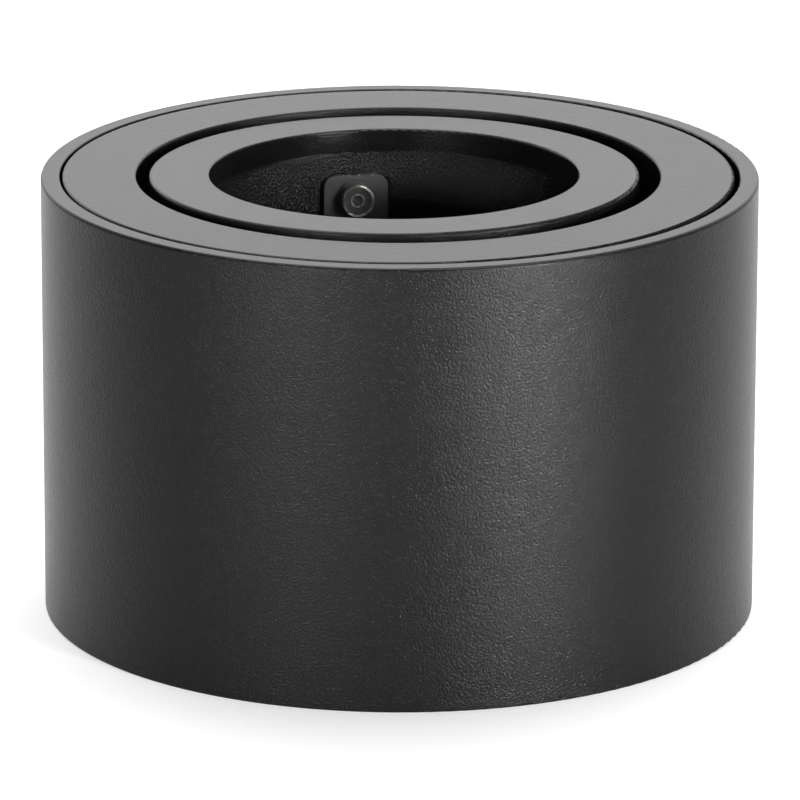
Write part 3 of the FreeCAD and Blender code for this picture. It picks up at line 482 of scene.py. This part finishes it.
def fired_ceramic(look):
    """Unglazed steatite: off-white, chalky, with pin-prick pores and faint flecks."""
    made = recipe("fired_ceramic")
    cloud = made.texture("ceramic_cloud")
    pores = 1 - made.cells(CERAMIC_PORE_SCALE).between(0.05, 0.22)
    fleck = made.texture("ceramic_flecks").between(0.68, 0.76)
    grey = tinted(look.ceramic_colour, (0.82, 0.80, 0.76))
    return surface(
        made,
        Base_Color=made.blend(0.35 * cloud + 0.4 * fleck, look.ceramic_colour, grey),
        Roughness=0.62 + 0.12 * cloud,
        IOR=CERAMIC_IOR,
        Subsurface_Weight=0.08,
        Subsurface_Radius=(0.0006, 0.0005, 0.0004),
        Subsurface_Scale=1.0,
        Normal=made.bump(0.6 * made.texture("ceramic_grain") - pores, RELIEF["ceramic"]),
    )


def moulded(name, colour, roughness, grain=0.00001, scale=1600.0):
    """A moulded plastic or rubber: an even colour with a spark-eroded grain."""
    made = recipe(name)
    erosion = made.noise(scale, 3.0, 0.55)
    flow = made.texture("plastic_flow").between(0.3, 0.7)
    return surface(
        made,
        Base_Color=made.blend(flow, colour, paler(colour, 1.15)),
        Roughness=roughness + 0.08 * erosion,
        IOR=LACQUER_IOR,
        Normal=made.bump(erosion, grain),
    )


class SpotlightLook(PropertyGroup):
    """Colours and grain of the light's finishes."""

    coat_colour: FloatVectorProperty(
        name="Powder coat",
        description="Colour of the coated castings",
        subtype="COLOR",
        default=(0.0035, 0.0035, 0.0036),
        min=0,
        max=1,
    )
    coat_roughness: FloatProperty(
        name="Coat roughness", description="How matt the powder coat is", default=0.29, min=0, max=1
    )
    grain_pitch: FloatProperty(
        name="Grain pitch",
        description="Spacing of the coat's grain",
        unit="LENGTH",
        default=0.00036,
        min=0.00001,
    )
    grain_depth: FloatProperty(
        name="Grain depth",
        description="Height of the coat's grain",
        unit="LENGTH",
        default=0.00018,
        min=0,
    )
    skirt_draft: FloatProperty(
        name="Skirt draft",
        description="How far the cast skirt's inside leans open, as a slope",
        default=0.12,
        min=0,
    )
    # Painted glints: the colour of pale specks that stand in for the sparkle of light on the coat's
    # grain.
    painted_glint_colour: FloatVectorProperty(
        name="Painted glints",
        description="Colour of the pale specks in the coat",
        subtype="COLOR",
        default=(0.05, 0.05, 0.048),
    )
    sheet_colour: FloatVectorProperty(
        name="Sheet paint",
        description="Colour of the painted strap and pivot brackets",
        subtype="COLOR",
        default=(0.04, 0.04, 0.041),
    )
    bare_colour: FloatVectorProperty(
        name="Bare metal",
        description="Colour of the strap where its paint is chipped",
        subtype="COLOR",
        default=(0.55, 0.54, 0.52),
    )
    plate_colour: FloatVectorProperty(
        name="Zinc plate",
        description="Colour of plated steel",
        subtype="COLOR",
        default=(0.62, 0.63, 0.65),
    )
    oxide_colour: FloatVectorProperty(
        name="Black oxide",
        description="Colour of blackened steel",
        subtype="COLOR",
        default=(0.06, 0.06, 0.062),
    )
    nickel_colour: FloatVectorProperty(
        name="Dark nickel",
        description="Colour of the strap screws' plate",
        subtype="COLOR",
        default=(0.72, 0.70, 0.66),
    )
    # Painted shade: the dark colour of the strap screws' dish and socket stands in for the shade in
    # these hollows.
    socket_shade_colour: FloatVectorProperty(
        name="Painted socket shade",
        description="Colour inside the strap screws' heads",
        subtype="COLOR",
        default=(0.03, 0.033, 0.03),
    )
    spring_colour: FloatVectorProperty(
        name="Spring steel",
        description="Colour of the spring washers",
        subtype="COLOR",
        default=(0.30, 0.29, 0.30),
    )
    spring_heat_colour: FloatVectorProperty(
        name="Spring heat tint",
        description="Colour of the spring washers where their hardening shows",
        subtype="COLOR",
        default=(0.36, 0.30, 0.24),
    )
    brass_colour: FloatVectorProperty(
        name="Brass",
        description="Colour of terminals and contacts",
        subtype="COLOR",
        default=(0.80, 0.60, 0.30),
    )
    ceramic_colour: FloatVectorProperty(
        name="Ceramic",
        description="Colour of the lampholder",
        subtype="COLOR",
        default=(0.78, 0.75, 0.69),
    )
    plastic_colour: FloatVectorProperty(
        name="Terminals",
        description="Colour of the terminal block",
        subtype="COLOR",
        default=(0.74, 0.74, 0.71),
    )
    nylon_colour: FloatVectorProperty(
        name="Nylon",
        description="Colour of the pivots' washers and spacers",
        subtype="COLOR",
        default=(0.02, 0.02, 0.021),
    )
    rubber_colour: FloatVectorProperty(
        name="Rubber",
        description="Colour of the cable grommet",
        subtype="COLOR",
        default=(0.018, 0.018, 0.018),
    )
    strap_screw_seat: FloatProperty(
        name="Strap screw seat",
        description="From the lamp's axis to the seat of a strap screw's head",
        unit="LENGTH",
        default=0.0386,
    )
    strap_end: FloatProperty(
        name="Strap end",
        description="How far the strap's ends stand above the inner pivot",
        unit="LENGTH",
        default=0.0024,
    )
    inner_rest_tilt: FloatProperty(
        name="Inner rest tilt",
        description="How far the inner ring leans at rest",
        subtype="ANGLE",
        default=math.radians(-0.85),
    )


class SpotlightStage(PropertyGroup):
    """The studio round the light: camera, lamps and floor."""

    lens: FloatProperty(
        name="Lens", description="Focal length of the camera", unit="CAMERA", default=332.6, min=1
    )
    camera_distance: FloatProperty(
        name="Distance",
        description="From the camera to the face's centre",
        unit="LENGTH",
        default=1.339,
    )
    camera_pitch: FloatProperty(
        name="Pitch",
        description="How far the camera looks down",
        subtype="ANGLE",
        default=math.radians(16.617),
    )
    camera_roll: FloatProperty(
        name="Roll",
        description="How far the camera leans",
        subtype="ANGLE",
        default=math.radians(0.156),
    )
    face_above_axis: FloatProperty(
        name="Face above axis",
        description="Angle from the view's middle up to the face",
        subtype="ANGLE",
        default=math.radians(1.761),
    )
    floor_white: FloatProperty(
        name="Floor white",
        description="How much light the floor gives back",
        default=0.7,
        min=0,
        max=1,
    )
    floor_glow: FloatProperty(
        name="Floor glow",
        description="White that the floor shows without light",
        default=0.405,
        min=0,
        max=1,
    )
    sky: FloatProperty(
        name="Sky",
        description="Strength of the pale surroundings behind the light",
        default=1.0,
        min=0,
    )
    room: FloatProperty(
        name="Room",
        description="Strength of the surroundings on the camera's side",
        default=0.12,
        min=0,
    )
    overhead: FloatProperty(
        name="Overhead lamp",
        description="Power of the lamp overhead",
        unit="POWER",
        default=20.0,
        min=0,
    )
    behind: FloatProperty(
        name="Back lamp",
        description="Power of the lamp behind the light",
        unit="POWER",
        default=8.3,
        min=0,
    )
    key: FloatProperty(
        name="Key lamp",
        description="Power of the lamp at the front right",
        unit="POWER",
        default=0.28,
        min=0,
    )
    fill: FloatProperty(
        name="Fill lamp",
        description="Power of the lamp at the front left",
        unit="POWER",
        default=0.092,
        min=0,
    )
    right_skim: FloatProperty(
        name="Right skim lamp",
        description="Power of the small lamp that lights the opening from the right",
        unit="POWER",
        default=0.07,
        min=0,
    )
    left_skim: FloatProperty(
        name="Left skim lamp",
        description="Power of the small lamp that lights the opening from the left",
        unit="POWER",
        default=0.032,
        min=0,
    )


# Turned pieces: rings of points round an axis, with six-sided rings for a socket.


def round_ring(radius, height):
    """A ring of a radius and a height in millimetres, as radii and heights in metres."""
    return [(radius * MM, height * MM)] * TURNS


def six_sided_ring(half, height):
    """A ring that follows a hexagon, by half the width over its flats."""
    ring = []
    for i in range(TURNS):
        past_corner = (i % (TURNS // 6)) * (math.tau / TURNS)
        ring.append((half * MM / math.cos(past_corner - math.pi / 6), height * MM))
    return ring


def thread_rings(steps=8):
    """The strap screw's thread, from its chamfered tip up to its end."""
    rings = []
    count = round((THREAD_END - SCREW_TIP) / THREAD_PITCH * steps)
    for k in range(count + 1):
        height = SCREW_TIP + (THREAD_END - SCREW_TIP) * k / count
        run_out = min(height - SCREW_TIP, THREAD_END - height) / THREAD_PITCH
        open_to = max(0.0, min(1.0, run_out))
        ring = []
        for i in range(TURNS):
            phase = (height / THREAD_PITCH + i / TURNS) % 1.0
            flank = min(1.0, max(0.0, 1.7 * (1 - abs(2 * phase - 1)) - 0.35))
            radius = THREAD_ROOT + (THREAD_CREST - THREAD_ROOT) * flank * open_to
            ring.append((radius * MM, height * MM))
        rings.append(ring)
    return rings


def bead_rings():
    """The rolled bead round a strap screw's dish."""
    rings = []
    for k in range(1, BEAD_STEPS):
        turn = math.pi * k / BEAD_STEPS
        radius = BEAD_MIDDLE[0] + BEAD_ROUNDING * math.cos(turn)
        height = BEAD_MIDDLE[1] + BEAD_ROUNDING * math.sin(turn)
        rings.append(round_ring(radius, height))
    return rings


def strap_screw_rings():
    """A short screw with a thread, a beaded edge, a dished head and a hexagon socket."""
    rings = thread_rings()
    rings += [round_ring(*point) for point in HEAD_PROFILE]
    rings += bead_rings()
    rings += [round_ring(*point) for point in DISH_PROFILE]
    rings += [six_sided_ring(*point) for point in HEXAGON_PROFILE]
    rings += [round_ring(*point) for point in FLOOR_PROFILE]
    return rings


def seat_frame(seat, ahead, aside):
    """Where a turned piece sits: its axis ahead, its first point aside."""
    third = ahead.cross(aside).normalized()
    turn = Matrix((aside.normalized(), third, ahead.normalized())).transposed()
    return Matrix.Translation(seat) @ turn.to_4x4()


def ring_points(shape, ring, place):
    """A ring's corners, added to a shape at a place."""
    points = []
    for i, (radius, height) in enumerate(ring):
        turn = math.tau * i / TURNS
        point = Vector((radius * math.cos(turn), radius * math.sin(turn), height))
        points.append(shape.verts.new(place @ point))
    return points


def turned_piece(name, rings, places):
    """One object of the same turned shape at several places."""
    shape = bmesh.new()
    for place in places:
        rows = [ring_points(shape, ring, place) for ring in rings]
        for low, high in zip(rows, rows[1:]):
            for i in range(TURNS):
                after = (i + 1) % TURNS
                shape.faces.new((low[i], low[after], high[after], high[i]))
        shape.faces.new(list(reversed(rows[0])))
        shape.faces.new(rows[-1])
    mesh = bpy.data.meshes.new(name)
    shape.to_mesh(mesh)
    shape.free()
    mesh.shade_smooth()
    mesh.set_sharp_from_angle(angle=SHARP_EDGE)
    made = bpy.data.objects.new(name, mesh)
    bpy.context.scene.collection.objects.link(made)
    return made


def in_dish(point, middle, across, seat):
    """Whether a point lies in a strap screw's socket or dish, but not on its chamfer or bead."""
    along = (point - middle).dot(across)
    out = (point - middle - along * across).length
    in_head = abs(along) < seat - DISH_CLEARANCE * MM
    in_socket = out < SOCKET_RADIUS * MM
    return in_head and (in_socket or CHAMFER_RADIUS * MM < out < DISH_RADIUS * MM)


# Dressing the CAD nodes.


def dress(material, *names):
    """Gives CAD nodes their finish."""
    for name in names:
        for spot in NODES[name].material_slots:
            spot.material = material


class SpotlightOperator:
    """What every step shares: it reads the settings and reports when it is done."""

    bl_options = {"REGISTER", "UNDO"}

    def execute(self, context):
        self.work(context.scene.spotlight_look, context.scene.spotlight_stage)
        return {"FINISHED"}


class SPOTLIGHT_OT_castings(SpotlightOperator, Operator):
    """Coats the housing and the two gimbal rings"""

    bl_idname = "spotlight.castings"
    bl_label = "Coat castings"

    def work(self, look, studio):
        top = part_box("housing")[1]
        dress(powder_coat(look, "housing_coat", rim=(top.x, top.z)), "housing")
        dress(powder_coat(look), "outer_ring")
        dress(powder_coat(look, "inner_ring_coat", cast_below=top.z - LIP_DEPTH), "inner_ring")


class SPOTLIGHT_OT_strap(SpotlightOperator, Operator):
    """Finishes the lamp strap, its screws and their washers"""

    bl_idname = "spotlight.strap"
    bl_label = "Finish lamp strap"

    def work(self, look, studio):
        outer, inner = (Vector(JOINTS[name]["axis"]) for name in ("outer_tilt", "inner_tilt"))
        lean = Matrix.Rotation(look.inner_rest_tilt, 3, inner)
        across = lean @ outer
        upward = lean @ Vector((0, 0, 1))
        top = Vector(JOINTS["inner_tilt"]["pos_m"]).dot(upward) + look.strap_end
        dress(painted_sheet(look, "strap_paint", (upward, top)), "lamp_strap")
        plain = painted_sheet(look)
        dress(plain, "strap_screw_washers", "rear_pivot_bracket", "front_pivot_bracket")

        low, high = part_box("strap_screws")
        middle = (Vector(low) + Vector(high)) / 2
        seat = look.strap_screw_seat
        places = [seat_frame(middle + way * seat * across, -way * across, inner) for way in (1, -1)]
        screws = turned_piece("dished_strap_screws", strap_screw_rings(), places)
        screws.data.materials.append(dark_nickel(look))
        screws.data.materials.append(painted_shade_socket(look))
        # The faces of the dish and socket take the painted shade; the bead and the chamfer keep the
        # bright nickel.
        for face in screws.data.polygons:
            face.material_index = int(in_dish(face.center, middle, across, seat))
        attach(screws, "inner_gimbal")
        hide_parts("strap_screws")


class SPOTLIGHT_OT_pivots(SpotlightOperator, Operator):
    """Finishes the gimbal's pivot screws, washers, spacers and springs"""

    bl_idname = "spotlight.pivots"
    bl_label = "Finish pivots"

    def work(self, look, studio):
        dress(black_oxide(look), "outer_pivot_screws", "inner_pivot_screws")
        nylon = moulded("black_nylon", look.nylon_colour, 0.45)
        dress(nylon, "outer_pivot_washers", "inner_pivot_spacers")
        dress(spring_metal(look), "inner_pivot_spring_washers")


class SPOTLIGHT_OT_plated(SpotlightOperator, Operator):
    """Plates the ceiling bracket, the screws, the washers and the nuts"""

    bl_idname = "spotlight.plated"
    bl_label = "Plate fasteners"

    def work(self, look, studio):
        dress(
            plated_steel(look),
            "ceiling_bracket",
            "housing_screws",
            "housing_screw_washers",
            "pivot_bracket_screws",
            "pivot_bracket_washers",
            "strap_nuts",
            "lampholder_screws",
            "earth_screw",
            "terminal_clamp_screws",
            "terminal_block_screws",
        )


class SPOTLIGHT_OT_electrical(SpotlightOperator, Operator):
    """Finishes the lampholder, the terminals, the earth washer and the grommet"""

    bl_idname = "spotlight.electrical"
    bl_label = "Finish electrical pieces"

    def work(self, look, studio):
        dress(fired_ceramic(look), "lampholder_body", "lampholder_base")
        dress(bare_brass(look), "lampholder_contacts", "terminal_barrels", "earth_washer")
        dress(moulded("terminal_plastic", look.plastic_colour, 0.42), "terminal_block")
        rubber = moulded("grommet_rubber", look.rubber_colour, 0.7, grain=0.00002, scale=1100.0)
        dress(rubber, "cable_grommet")


# The studio.


def studio_lamps(studio, face):
    """A lamp overhead and one behind, two low ones for the wall and two small ones for the opening.

    Each is a soft rectangle that faces a point, with a grid that narrows its light.
    """
    middle = (0.0, 0.0, face / 2)
    lamps = (
        ("overhead", studio.overhead, (0.0, 0.3, 1.3), middle, 1.2, 0.9, NO_GRID),
        ("back", studio.behind, (0.0, 1.9, 0.75), middle, 2.4, 0.8, NO_GRID),
        ("key", studio.key, (0.362, -0.478, 0.065), WALL_FRONT, 0.06, 0.12, LOW_GRID),
        ("fill", studio.fill, (-0.29, -0.525, 0.065), WALL_FRONT, 0.14, 0.12, LOW_GRID),
        ("right_skim", studio.right_skim, (0.4, -0.447, 0.215), OPENING, 0.05, 0.12, SKIM_GRID),
        ("left_skim", studio.left_skim, (-0.29, -0.525, 0.19), OPENING, 0.05, 0.06, SKIM_GRID),
    )
    for use, power, place, towards, width, height, spread in lamps:
        name = use + "_lamp"
        lamp = bpy.data.lights.new(name, "AREA")
        lamp.shape = "RECTANGLE"
        lamp.size = width
        lamp.size_y = height
        lamp.energy = power
        lamp.spread = math.radians(spread)
        held = bpy.data.objects.new(name, lamp)
        held.location = place
        facing = Vector(towards) - Vector(place)
        held.rotation_euler = facing.to_track_quat("-Z", "Y").to_euler()
        held.visible_camera = False
        bpy.context.scene.collection.objects.link(held)


def studio_world(studio):
    """Pale surroundings: white to the camera, bright behind the light and dim on its other side."""
    bpy.context.scene.world = bpy.data.worlds.new("studio")
    made = Recipe(bpy.context.scene.world)
    path = made.node("ShaderNodeLightPath", output="Is Camera Ray")
    toward = made.node("ShaderNodeTexCoord", output="Generated")
    backward = made.axis("Y", toward).between(0.0, SKY_FROM)
    strength = studio.room + (studio.sky - studio.room) * backward
    lit = {"Color": (1, 1, 1), "Strength": strength + path * (1 - strength)}
    made.finish(made.node("ShaderNodeBackground", None, lit), "ShaderNodeOutputWorld")


def studio_floor(studio):
    """A white floor that keeps the light's shadow."""
    mesh = bpy.data.meshes.new("floor")
    corners = [(x * FLOOR_HALF, y * FLOOR_HALF, 0) for x, y in ((-1, -1), (1, -1), (1, 1), (-1, 1))]
    mesh.from_pydata(corners, [], [(0, 1, 2, 3)])
    floor = bpy.data.objects.new("floor", mesh)
    bpy.context.scene.collection.objects.link(floor)
    made = recipe("white_floor")
    camera = made.node("ShaderNodeLightPath", output="Is Camera Ray")
    glossy = made.node("ShaderNodeLightPath", output="Is Glossy Ray")
    clear = made.node("ShaderNodeLightPath", output="Is Transmission Ray")
    strength = studio.floor_glow * camera.most(glossy).most(clear)
    lit = made.node("ShaderNodeBsdfDiffuse", None, {"Color": (studio.floor_white,) * 3})
    glow = made.node("ShaderNodeEmission", None, {"Color": (1, 1, 1), "Strength": strength})
    made.finish(made.node("ShaderNodeAddShader", None, {0: lit, 1: glow}))
    mesh.materials.append(made.owner)


def studio_camera(studio, face):
    """The photograph's camera: a long lens from a little above."""
    camera = bpy.data.cameras.new("camera")
    camera.lens = studio.lens
    camera.sensor_width = SENSOR_MM
    camera.clip_start = NEAREST
    camera.clip_end = FARTHEST
    held = bpy.data.objects.new("camera", camera)
    slope = studio.camera_pitch - studio.face_above_axis
    out = Vector((0.0, -math.cos(slope), math.sin(slope))) * studio.camera_distance
    place = Vector((CAMERA_ASIDE, 0.0, face)) + out
    pitch = Matrix.Rotation(math.pi / 2 - studio.camera_pitch, 4, "X")
    roll = Matrix.Rotation(studio.camera_roll, 4, "Z")
    held.matrix_world = Matrix.Translation(place) @ pitch @ roll
    bpy.context.scene.collection.objects.link(held)
    bpy.context.scene.camera = held


class SPOTLIGHT_OT_stage(SpotlightOperator, Operator):
    """Sets up the camera, the lamps, the pale surroundings and the floor"""

    bl_idname = "spotlight.stage"
    bl_label = "Set up studio"

    def work(self, look, studio):
        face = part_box("housing")[1].z
        studio_camera(studio, face)
        studio_world(studio)
        studio_floor(studio)
        studio_lamps(studio, face)
        bpy.context.scene.view_settings.view_transform = "Standard"


class SPOTLIGHT_PT_panel(Panel):
    """Lists the settings and the steps in the sidebar."""

    bl_idname = "SPOTLIGHT_PT_panel"
    bl_label = "Ceiling spotlight"
    bl_space_type = "VIEW_3D"
    bl_region_type = "UI"
    bl_category = "Spotlight"

    def draw(self, context):
        for group in (context.scene.spotlight_look, context.scene.spotlight_stage):
            column = self.layout.column(align=True)
            for key in group.__annotations__:
                column.prop(group, key)
        for step in STEPS:
            self.layout.operator(step.bl_idname)


STEPS = (
    SPOTLIGHT_OT_castings,
    SPOTLIGHT_OT_strap,
    SPOTLIGHT_OT_pivots,
    SPOTLIGHT_OT_plated,
    SPOTLIGHT_OT_electrical,
    SPOTLIGHT_OT_stage,
)
CLASSES = (SpotlightLook, SpotlightStage, *STEPS, SPOTLIGHT_PT_panel)


def register():
    for kind in CLASSES:
        bpy.utils.register_class(kind)
    bpy.types.Scene.spotlight_look = PointerProperty(type=SpotlightLook)
    bpy.types.Scene.spotlight_stage = PointerProperty(type=SpotlightStage)


def unregister():
    del bpy.types.Scene.spotlight_stage
    del bpy.types.Scene.spotlight_look
    for kind in reversed(CLASSES):
        bpy.utils.unregister_class(kind)


def main():
    register()
    for step in STEPS:
        group, name = step.bl_idname.split(".")
        getattr(getattr(bpy.ops, group), name)()


if __name__ == "__main__":
    main()
